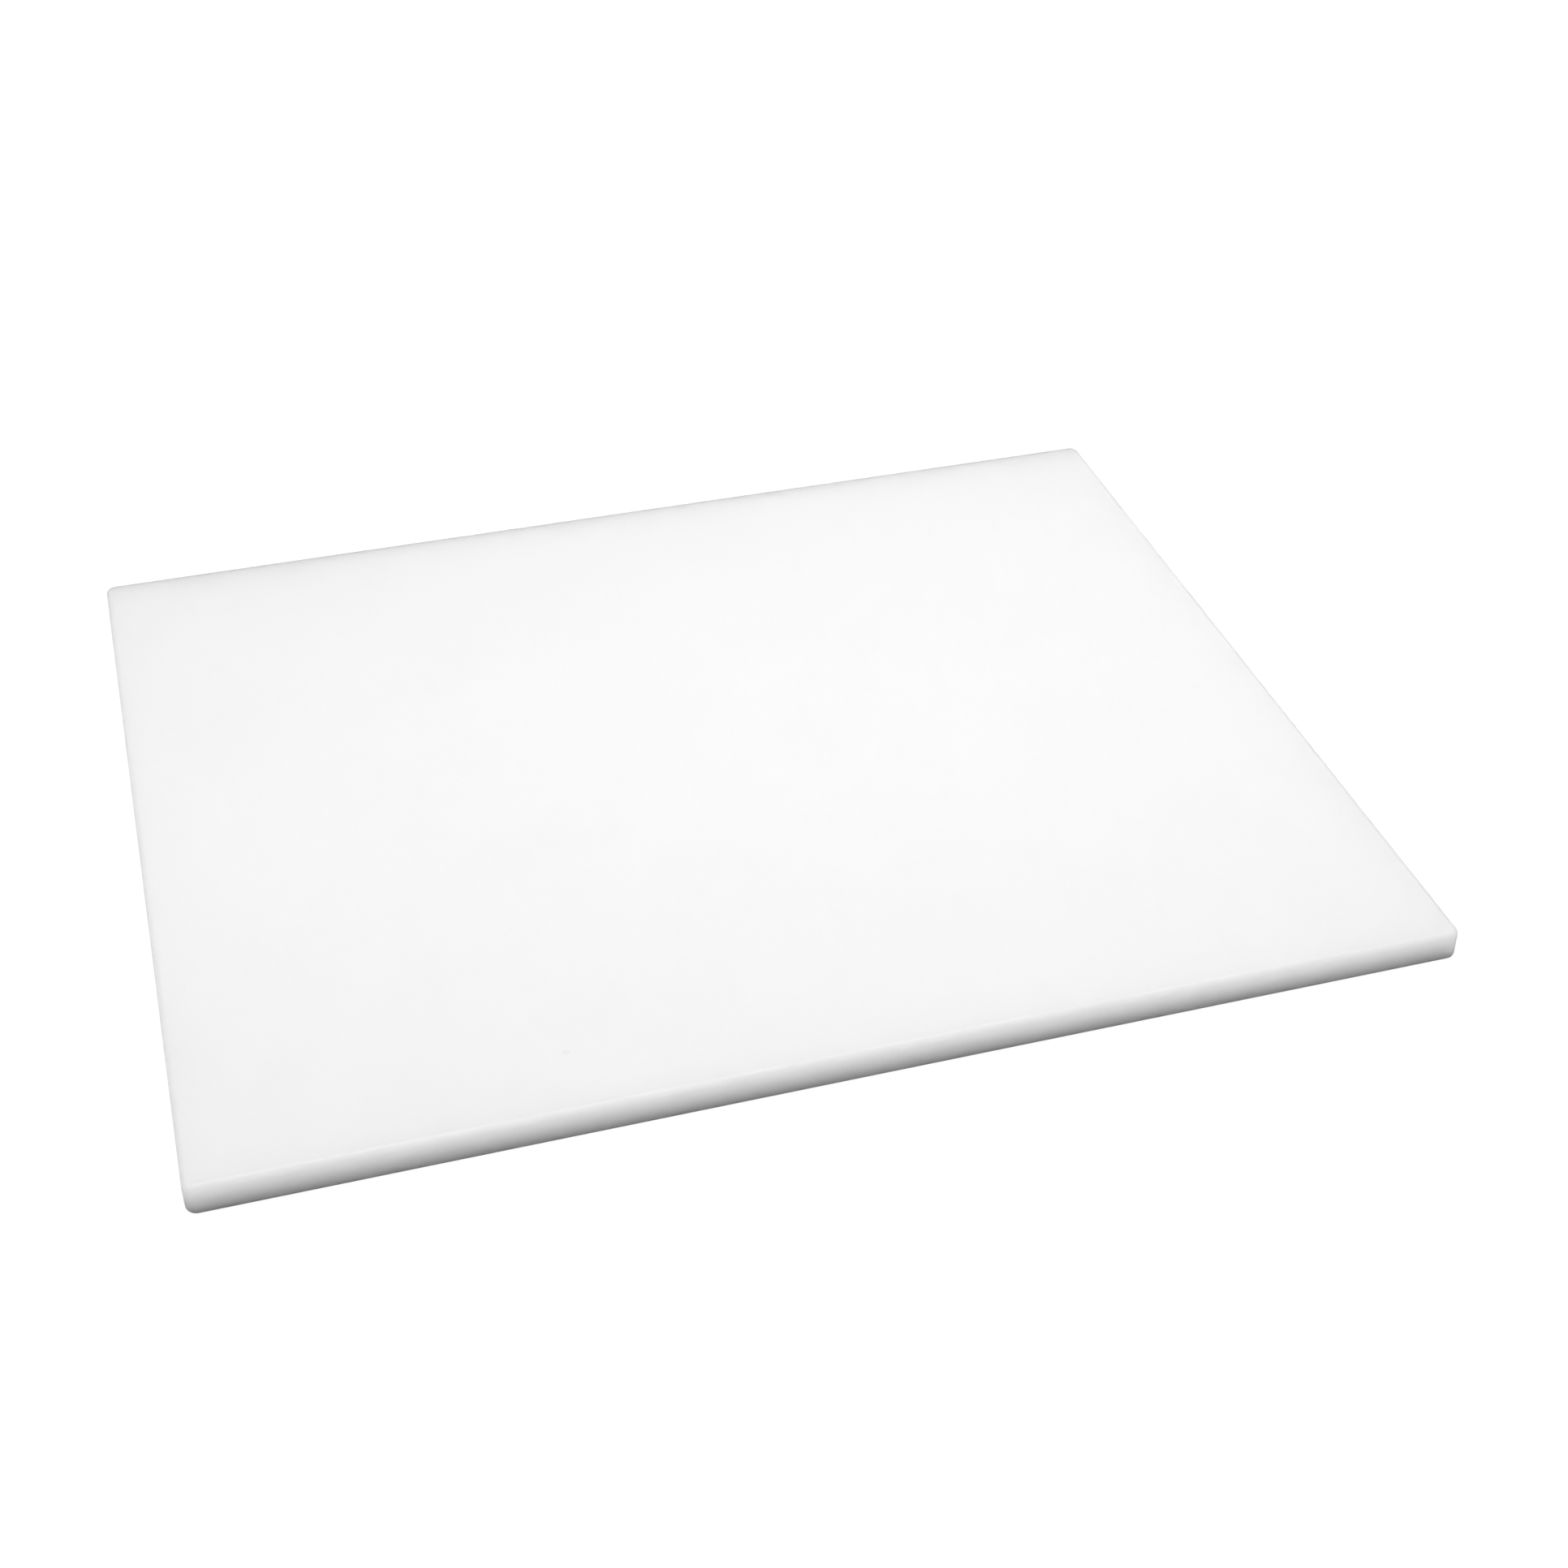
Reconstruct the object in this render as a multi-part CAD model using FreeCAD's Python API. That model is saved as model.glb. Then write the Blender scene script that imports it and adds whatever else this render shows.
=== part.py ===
"""Commercial kitchen cutting board: one solid slab of white high-density polyethylene.

The slab is an 18 x 15 x 1/2 inch board. Its four upright corners are eased, and the rim of
each face is rounded over all the way round, so that the board is reversible. Nothing is
fitted to it: it is a single piece with no fasteners, feet, handle or groove.

Frame: +X along the long side, +Y along the short side, +Z up. The origin is at the centre of
the underside, where the board rests on the worktop.
"""

import os

import FreeCAD
import Part

INCH = 25.4  # millimetres in an inch

# Driving dimensions, in millimetres.
BOARD_LENGTH = 18 * INCH  # along X, the long side
BOARD_WIDTH = 15 * INCH  # along Y, the short side
BOARD_THICKNESS = 0.5 * INCH  # along Z, from one working face to the other
EDGE_RADIUS = 2.4  # round-over between each working face and the side wall
CORNER_RADIUS = 4.0  # easing of the four upright corners, seen from above

PARTS_FOLDER = "parts"
HEIGHT_TOLERANCE = 1e-6  # heights closer together than this are the same


def edges_at_height(shape, height):
    """The edges of shape that lie wholly in the level plane at that height."""
    return [
        edge
        for edge in shape.Edges
        if abs(edge.BoundBox.ZMin - height) < HEIGHT_TOLERANCE
        and abs(edge.BoundBox.ZMax - height) < HEIGHT_TOLERANCE
    ]


def upright_edges(shape):
    """The edges of shape that run straight up through its whole thickness."""
    return [
        edge
        for edge in shape.Edges
        if abs(edge.BoundBox.ZLength - BOARD_THICKNESS) < HEIGHT_TOLERANCE
    ]


def blank():
    """The sawn blank: a plain slab, centred on the origin and standing on it."""
    low_corner = FreeCAD.Vector(-BOARD_LENGTH / 2, -BOARD_WIDTH / 2, 0)
    return Part.makeBox(BOARD_LENGTH, BOARD_WIDTH, BOARD_THICKNESS, low_corner)


def board():
    """The finished board: corners eased first, then both rims rounded over in one pass."""
    slab = blank()
    eased = slab.makeFillet(CORNER_RADIUS, upright_edges(slab))
    rims = edges_at_height(eased, 0) + edges_at_height(eased, BOARD_THICKNESS)
    return eased.makeFillet(EDGE_RADIUS, rims).Solids[0]


def main():
    """Builds the board, prints what it measures, and writes it."""
    solid = board()
    box = solid.optimalBoundingBox(False)
    print(f"board valid: {solid.isValid()}, faces: {len(solid.Faces)}")
    print(f"board size: {box.XLength:.3f} x {box.YLength:.3f} x {box.ZLength:.3f} mm")
    print(f"board volume: {solid.Volume / 1000:.1f} cm3")
    os.makedirs(PARTS_FOLDER, exist_ok=True)
    solid.exportStep(os.path.join(PARTS_FOLDER, "board.step"))


main()
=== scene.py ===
"""Studio view of a commercial cutting board: a solid slab of milky white polyethylene.

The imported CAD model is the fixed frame. Its one node, the board, is replaced by a dense mesh
of the same shape, with a translucent plastic material. Everything is in metres, +Z up.
"""

import math

import bmesh
import bpy
from mathutils import Matrix, Vector


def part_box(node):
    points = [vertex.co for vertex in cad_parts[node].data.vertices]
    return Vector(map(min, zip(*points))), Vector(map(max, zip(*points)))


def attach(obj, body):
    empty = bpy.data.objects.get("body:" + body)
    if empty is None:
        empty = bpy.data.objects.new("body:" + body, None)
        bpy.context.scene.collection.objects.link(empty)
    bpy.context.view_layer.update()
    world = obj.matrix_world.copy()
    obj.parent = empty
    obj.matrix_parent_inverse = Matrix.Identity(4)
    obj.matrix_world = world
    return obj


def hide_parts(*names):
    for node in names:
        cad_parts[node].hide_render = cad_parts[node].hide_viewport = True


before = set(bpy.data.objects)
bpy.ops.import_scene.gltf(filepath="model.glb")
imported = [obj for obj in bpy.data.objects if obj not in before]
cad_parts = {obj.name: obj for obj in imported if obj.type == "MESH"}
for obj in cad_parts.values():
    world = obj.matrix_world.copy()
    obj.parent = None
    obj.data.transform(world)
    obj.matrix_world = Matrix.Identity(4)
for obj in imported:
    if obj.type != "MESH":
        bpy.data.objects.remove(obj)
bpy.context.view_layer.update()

NODE = "board"
MM = 0.001

# The board's shape. Its overall size comes from the frame, and the radii are the CAD model's.
LOW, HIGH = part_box(NODE)
HALF_LENGTH = (HIGH.x - LOW.x) / 2
HALF_WIDTH = (HIGH.y - LOW.y) / 2
BOTTOM, TOP = LOW.z, HIGH.z
EDGE_RADIUS = 2.4 * MM  # round-over between a face and the side wall
CORNER_RADIUS = 4.0 * MM  # easing of the upright corners, seen from above

# How finely it is modelled.
ARC_STEPS = 12  # bands in the quarter circle of a round-over
FADE_STEPS = 4  # bands of it over which the side's finish gives way to the face's
WALL_STEPS = 5  # bands across the flat of the side wall
CORNER_STEPS = 6  # segments in half of an upright corner
FACE_PITCH = 7.0 * MM  # size of the quads on the faces

# The plastic.
SCATTER_DISTANCE = 60.0 * MM  # how far light spreads inside it
PLASTIC_WHITE = 0.93  # the share of the light that it gives back
PLASTIC_IOR = 1.54
GLOSS_LEVEL = 0.25  # half of a polished surface's reflection, because the plastic is matte
SHEEN_ROUGHNESS = (0.37, 0.44)  # where the sheen is brightest and dullest
RUBBED_ROUGHNESS = 0.33  # along the faint rub marks
GRAIN_SCALE = 1300.0  # per metre, so the grain is a little under 1 mm across
GRAIN_HEIGHT = 0.04 * MM
RIPPLE_SCALE = 110.0  # per metre round the outline
RIPPLE_HEIGHT = 0.02 * MM
RUB_ANGLE = 0.6  # radians from the long side
RUB_SCALE = (12.0, 420.0, 12.0)  # long in one direction and thin in the other
PRESSED_MARK = (-97.0 * MM, -161.5 * MM, HIGH.z)  # the one small blemish on the upper face
MARK_WHITE = 0.88
MARK_DEPTH = 0.2 * MM
MARK_CORE = 0.7 * MM  # radius inside which the mark is fully there
MARK_RIM = 1.7 * MM  # radius where it has faded out

# The studio. Each softbox is a square lamp: its name, place, side and power in watts.
# The first two hang over the board and shine straight down. The others face its middle.
OVERHEAD_SOFTBOXES = (
    ("overhead_right", Vector((0.35, 0.10, 0.80)), 0.5, 4.85),
    ("overhead_left", Vector((-0.25, 0.00, 0.80)), 0.5, 4.15),
)
SIDE_SOFTBOXES = (
    ("front", Vector((0.2, -1.6, 0.9)), 0.9, 5.8),
    ("right", Vector((1.6, 0.0, 0.9)), 0.9, 4.15),
    ("left", Vector((-1.6, 0.0, 0.9)), 0.9, 8.0),
)
ROOM_GLOW = 0.327  # strength of the even light from the upper half of the room
FLOOR_RADIUS = 15.0
FLOOR_GAP = 0.02 * MM  # how far the floor is below the board
FLOOR_GLOW = 0.95  # the floor that is seen is lit evenly, and keeps a trace of a shadow
FLOOR_WHITE = 0.35
TABLE_WHITE = 0.4  # how much light the table sends back to the board
MATTE_ROUGHNESS = 0.8
ROOM_RADIUS = 12.0
HORIZON = 0.01  # half the height of the soft edge between the room's light and dark halves

# The camera.
CAMERA_AZIMUTH = 16.583  # degrees from +Y towards +X
CAMERA_ELEVATION = 36.474  # degrees above the horizon
CAMERA_ROLL = 0.153  # degrees, anticlockwise as the camera sees it
CAMERA_DISTANCE = 0.97976  # to the target
CAMERA_TARGET = Vector((0.02980, -0.02005, 0.0))
CAMERA_LENS = 56.09  # millimetres
CAMERA_SENSOR = 36.0  # millimetres
CAMERA_SHIFT = -0.0128  # as a share of the frame's width
CAMERA_NEAR_CLIP = 0.01


# ---------------------------------------------------------------- shape

def side_steps(half_run):
    """How many quads a straight side is divided into."""
    return round(2 * (half_run - CORNER_RADIUS) / FACE_PITCH)


def side_points(turn, inset):
    """One side of the outline and half of each of its corners, moved inwards by inset.

    Turn 0 is the front side, and the others follow it anticlockwise. The last point is left
    out, because the next side starts with it.
    """
    angle = turn * math.pi / 2
    heading = Vector((math.cos(angle), math.sin(angle)))
    outward = Vector((math.sin(angle), -math.cos(angle)))
    runs = (HALF_LENGTH, HALF_WIDTH) if turn % 2 == 0 else (HALF_WIDTH, HALF_LENGTH)
    reach, offset = (run - CORNER_RADIUS for run in runs)
    first = outward * offset - heading * reach
    last = outward * offset + heading * reach
    radius = CORNER_RADIUS - inset
    steps = side_steps(runs[0])
    points = []
    for i in range(CORNER_STEPS):
        a = math.pi / 4 * (1 - i / CORNER_STEPS)
        points.append(first + radius * (math.cos(a) * outward - math.sin(a) * heading))
    for i in range(steps):
        points.append(first.lerp(last, i / steps) + radius * outward)
    for i in range(CORNER_STEPS):
        a = math.pi / 4 * i / CORNER_STEPS
        points.append(last + radius * (math.cos(a) * outward + math.sin(a) * heading))
    return points


def outline(inset):
    """The whole outline, moved inwards by inset: a closed loop that runs anticlockwise."""
    return [point for turn in range(4) for point in side_points(turn, inset)]


def profile():
    """The edge's section, from the upper face down to the underside, as (inset, height) pairs."""
    section = []
    for i in range(ARC_STEPS + 1):
        a = math.pi / 2 * (1 - i / ARC_STEPS)
        section.append((EDGE_RADIUS * (1 - math.cos(a)), TOP - EDGE_RADIUS * (1 - math.sin(a))))
    lower_arc = [(inset, BOTTOM + TOP - height) for inset, height in reversed(section)]
    wall_top, wall_bottom = TOP - EDGE_RADIUS, BOTTOM + EDGE_RADIUS
    for i in range(1, WALL_STEPS):
        section.append((0.0, wall_top + (wall_bottom - wall_top) * i / WALL_STEPS))
    return section + lower_arc


def loop_distances(points):
    """How far along a closed loop each of its points is, and last the whole way round."""
    distances = [0.0]
    for here, there in zip(points, points[1:] + points[:1]):
        distances.append(distances[-1] + (there - here).length)
    return distances


def face_grid(loop):
    """Fills a face's rim with a grid of points in step with it, as rows from front to back.

    Each point is blended from the four sides of the rim, so the grid follows the round
    corners and is square everywhere else.
    """
    columns = 2 * CORNER_STEPS + side_steps(HALF_LENGTH)
    rows = 2 * CORNER_STEPS + side_steps(HALF_WIDTH)
    front = loop[:columns + 1]
    right = loop[columns:columns + rows + 1]
    back = loop[columns + rows:2 * columns + rows + 1][::-1]
    left = (loop[2 * columns + rows:] + loop[:1])[::-1]
    grid = []
    for j in range(rows + 1):
        v = (left[j].y - left[0].y) / (left[-1].y - left[0].y)
        row = []
        for i in range(columns + 1):
            u = (front[i].x - front[0].x) / (front[-1].x - front[0].x)
            across = front[i].lerp(back[i], v)
            along = left[j].lerp(right[j], u)
            corners = front[0].lerp(front[-1], u).lerp(back[0].lerp(back[-1], u), v)
            row.append(across + along - corners)
        grid.append(row)
    return grid


def rim_cells(rows, columns):
    """The grid cells (row, column) along its rim, in the order of the outline's points."""
    cells = [(0, i) for i in range(columns)]
    cells += [(j, columns) for j in range(rows)]
    cells += [(rows, i) for i in range(columns, 0, -1)]
    return cells + [(j, 0) for j in range(rows, 0, -1)]


def add_face(bm, uv, rim, height, facing_up):
    """One working face: a grid of quads that shares its rim with the edge band."""
    grid = face_grid(outline(EDGE_RADIUS))
    rows, columns = len(grid) - 1, len(grid[0]) - 1
    vertices = dict(zip(rim_cells(rows, columns), rim))
    for j in range(1, rows):
        for i in range(1, columns):
            vertices[j, i] = bm.verts.new((*grid[j][i], height))
    for j in range(rows):
        for i in range(columns):
            cells = [(j, i), (j, i + 1), (j + 1, i + 1), (j + 1, i)]
            quad = bm.faces.new([vertices[cell] for cell in (cells if facing_up else cells[::-1])])
            for corner in quad.loops:
                corner[uv].uv = corner.vert.co.xy


def add_edge_band(bm, uv, share):
    """The rounded side of the board, all the way round. Returns its upper and lower rims.

    Its UVs are real distances: along the board's outline, and down its section. Its share is
    1, and falls to 0 over the part of each arc that is next to a face.
    """
    section = profile()
    last = len(section) - 1
    rings = []
    for step, (inset, height) in enumerate(section):
        ring = [bm.verts.new((*point, height)) for point in outline(inset)]
        for vertex in ring:
            vertex[share] = min(1.0, min(step, last - step) / FADE_STEPS)
        rings.append(ring)
    along = loop_distances(outline(0.0))
    down = [0.0]
    for here, there in zip(section, section[1:]):
        down.append(down[-1] + math.dist(here, there))
    for step in range(last):
        upper, lower = rings[step], rings[step + 1]
        for i in range(len(upper)):
            k = (i + 1) % len(upper)
            quad = bm.faces.new([upper[i], lower[i], lower[k], upper[k]])
            places = [(i, step), (i, step + 1), (i + 1, step + 1), (i + 1, step)]
            for corner, (a, d) in zip(quad.loops, places):
                corner[uv].uv = (along[a], down[d])
    return rings[0], rings[-1]


def make_board():
    """The whole board, as one closed mesh of quads."""
    bm = bmesh.new()
    uv = bm.loops.layers.uv.new("distance")
    share = bm.verts.layers.float.new("edge_share")
    upper_rim, lower_rim = add_edge_band(bm, uv, share)
    add_face(bm, uv, upper_rim, TOP, True)
    add_face(bm, uv, lower_rim, BOTTOM, False)
    mesh = bpy.data.meshes.new("cutting_board")
    bm.to_mesh(mesh)
    bm.free()
    mesh.shade_smooth()
    board = bpy.data.objects.new("cutting_board", mesh)
    bpy.context.scene.collection.objects.link(board)
    return board


# ---------------------------------------------------------------- materials

def new_material(name):
    """An empty node material, and the function that adds a node to it.

    That function takes the kind of node, its settings, and its inputs by name. An input is a
    value, or another node's output.
    """
    material = bpy.data.materials.new(name)
    material.use_nodes = True
    tree = material.node_tree
    tree.nodes.clear()

    def add(kind, settings=None, **inputs):
        node = tree.nodes.new(kind)
        for key, value in (settings or {}).items():
            setattr(node, key, value)
        for key, value in inputs.items():
            socket = node.inputs[key.replace("_", " ")]
            if isinstance(value, bpy.types.NodeSocket):
                tree.links.new(value, socket)
            else:
                socket.default_value = value
        return node

    return material, add


def polyethylene():
    """Milky high-density polyethylene: light goes some way into it before it comes back."""
    material, add = new_material("milky_polyethylene")
    place = add("ShaderNodeTexCoord").outputs["Object"]
    edge = add("ShaderNodeAttribute", {"attribute_name": "edge_share"}).outputs["Fac"]
    around = add("ShaderNodeUVMap", {"uv_map": "distance"}).outputs["UV"]

    # The fine matte grain, left by the press that the sheet was made in.
    grain = add("ShaderNodeTexNoise", Vector=place, Scale=GRAIN_SCALE, Detail=3.0,
                Roughness=0.55)
    grain_bump = add("ShaderNodeBump", Strength=0.6, Distance=GRAIN_HEIGHT,
                     Height=grain.outputs["Fac"])

    # The sides' shallow ripples, left by the cutter that trimmed and rounded them.
    ripple = add("ShaderNodeTexWave", {"bands_direction": "X"}, Vector=around,
                 Scale=RIPPLE_SCALE, Distortion=1.5, Detail=2.0, Detail_Scale=0.4)
    ripple_height = add("ShaderNodeMapRange", Value=edge, To_Max=ripple.outputs["Fac"])
    edge_bump = add("ShaderNodeBump", Strength=0.5, Distance=RIPPLE_HEIGHT,
                    Height=ripple_height.outputs["Result"], Normal=grain_bump.outputs["Normal"])

    # The small pressed mark near the front edge: slightly darker, and a shallow dimple.
    away = add("ShaderNodeVectorMath", {"operation": "DISTANCE"})
    material.node_tree.links.new(place, away.inputs[0])
    away.inputs[1].default_value = PRESSED_MARK
    white = add("ShaderNodeMapRange", {"interpolation_type": "SMOOTHSTEP"},
                Value=away.outputs["Value"], From_Min=MARK_CORE, From_Max=MARK_RIM,
                To_Min=MARK_WHITE, To_Max=PLASTIC_WHITE)
    mark_bump = add("ShaderNodeBump", Strength=0.4, Distance=MARK_DEPTH,
                    Height=white.outputs["Result"], Normal=edge_bump.outputs["Normal"])

    # The sheen: cloudy, and a little brighter along faint rub marks from stacking.
    cloud = add("ShaderNodeTexNoise", Vector=place, Scale=14.0, Detail=4.0, Roughness=0.6)
    sheen = add("ShaderNodeMapRange", Value=cloud.outputs["Fac"], From_Min=0.3, From_Max=0.7,
                To_Min=SHEEN_ROUGHNESS[0], To_Max=SHEEN_ROUGHNESS[1])
    stretched = add("ShaderNodeMapping", Vector=place, Rotation=(0.0, 0.0, RUB_ANGLE),
                    Scale=RUB_SCALE)
    rub = add("ShaderNodeTexNoise", Vector=stretched.outputs["Vector"], Scale=1.0, Detail=3.0)
    rough = add("ShaderNodeMapRange", Value=rub.outputs["Fac"], From_Min=0.62, From_Max=0.75,
                To_Min=sheen.outputs["Result"], To_Max=RUBBED_ROUGHNESS)

    shader = add("ShaderNodeBsdfPrincipled", {"subsurface_method": "RANDOM_WALK"},
                 IOR=PLASTIC_IOR, Specular_IOR_Level=GLOSS_LEVEL,
                 Base_Color=white.outputs["Result"], Roughness=rough.outputs["Result"],
                 Normal=mark_bump.outputs["Normal"], Subsurface_Weight=1.0,
                 Subsurface_Scale=SCATTER_DISTANCE, Subsurface_Radius=(1.0, 1.0, 1.0))
    add("ShaderNodeOutputMaterial", Surface=shader.outputs["BSDF"])
    return material


def matte(name, white, glow=0.0):
    """A plain matte surface, from black to white, which may give off some light of its own."""
    material, add = new_material(name)
    shader = add("ShaderNodeBsdfPrincipled", Base_Color=(white, white, white, 1.0),
                 Roughness=MATTE_ROUGHNESS, Emission_Color=(1.0, 1.0, 1.0, 1.0),
                 Emission_Strength=glow)
    add("ShaderNodeOutputMaterial", Surface=shader.outputs["BSDF"])
    return material


# ---------------------------------------------------------------- studio

def stage_piece(name, bm, material, seen):
    """A part of the studio. Either the camera sees it, or it only lights the board."""
    mesh = bpy.data.meshes.new(name)
    bm.to_mesh(mesh)
    bm.free()
    mesh.materials.append(material)
    piece = bpy.data.objects.new(name, mesh)
    piece.visible_camera = seen
    piece.visible_diffuse = not seen
    piece.visible_glossy = not seen
    piece.visible_transmission = not seen
    piece.visible_shadow = False
    bpy.context.scene.collection.objects.link(piece)
    return piece


def make_floor(name, material, seen):
    """A large disc just under the board."""
    bm = bmesh.new()
    bmesh.ops.create_circle(bm, cap_ends=True, segments=96, radius=FLOOR_RADIUS)
    stage_piece(name, bm, material, seen).location.z = BOTTOM - FLOOR_GAP


def make_room():
    """The white walls and ceiling round the floor, as one big sphere."""
    bm = bmesh.new()
    bmesh.ops.create_uvsphere(bm, u_segments=64, v_segments=32, radius=ROOM_RADIUS)
    stage_piece("room", bm, matte("room_white", 0.0, 1.0), True)


def make_world():
    """Even light from the upper half of the room, and none from below."""
    world = bpy.data.worlds.new("studio")
    world.use_nodes = True
    bpy.context.scene.world = world
    tree = world.node_tree
    tree.nodes.clear()
    direction = tree.nodes.new("ShaderNodeTexCoord")
    split = tree.nodes.new("ShaderNodeSeparateXYZ")
    above = tree.nodes.new("ShaderNodeMapRange")
    above.inputs["From Min"].default_value = -HORIZON
    above.inputs["From Max"].default_value = HORIZON
    above.inputs["To Max"].default_value = ROOM_GLOW
    background = tree.nodes.new("ShaderNodeBackground")
    output = tree.nodes.new("ShaderNodeOutputWorld")
    tree.links.new(direction.outputs["Generated"], split.inputs["Vector"])
    tree.links.new(split.outputs["Z"], above.inputs["Value"])
    tree.links.new(above.outputs["Result"], background.inputs["Strength"])
    tree.links.new(background.outputs["Background"], output.inputs["Surface"])


def make_softbox(name, place, side, power, aim):
    """A square soft light that faces the given point."""
    lamp = bpy.data.lights.new(name, "AREA")
    lamp.shape = "SQUARE"
    lamp.size = side
    lamp.energy = power
    box = bpy.data.objects.new(name, lamp)
    facing = (aim - place).to_track_quat("-Z", "Y").to_matrix().to_4x4()
    box.matrix_world = Matrix.Translation(place) @ facing
    bpy.context.scene.collection.objects.link(box)


def make_camera():
    """The camera, which looks down at the board from the front, a little from the left."""
    azimuth = math.radians(CAMERA_AZIMUTH)
    elevation = math.radians(CAMERA_ELEVATION)
    look = Vector((
        math.sin(azimuth) * math.cos(elevation),
        math.cos(azimuth) * math.cos(elevation),
        -math.sin(elevation),
    ))
    data = bpy.data.cameras.new("camera")
    data.sensor_width = CAMERA_SENSOR
    data.lens = CAMERA_LENS
    data.shift_x = CAMERA_SHIFT
    data.clip_start = CAMERA_NEAR_CLIP
    camera = bpy.data.objects.new("camera", data)
    turned = look.to_track_quat("-Z", "Y").to_matrix().to_4x4()
    rolled = Matrix.Rotation(math.radians(CAMERA_ROLL), 4, "Z")
    placed = Matrix.Translation(CAMERA_TARGET - look * CAMERA_DISTANCE)
    camera.matrix_world = placed @ turned @ rolled
    bpy.context.scene.collection.objects.link(camera)
    bpy.context.scene.camera = camera


# ---------------------------------------------------------------- the scene

board = make_board()
board.data.materials.append(polyethylene())
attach(board, "root")
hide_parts(NODE)

make_floor("floor", matte("floor_white", FLOOR_WHITE, FLOOR_GLOW), True)
make_floor("table_bounce", matte("table_grey", TABLE_WHITE), False)
make_room()
make_world()
for name, place, side, power in OVERHEAD_SOFTBOXES:
    make_softbox(name, place, side, power, Vector((place.x, place.y, 0.0)))
for name, place, side, power in SIDE_SOFTBOXES:
    make_softbox(name, place, side, power, Vector((0.0, 0.0, 0.0)))
make_camera()
bpy.context.scene.view_settings.view_transform = "Standard"
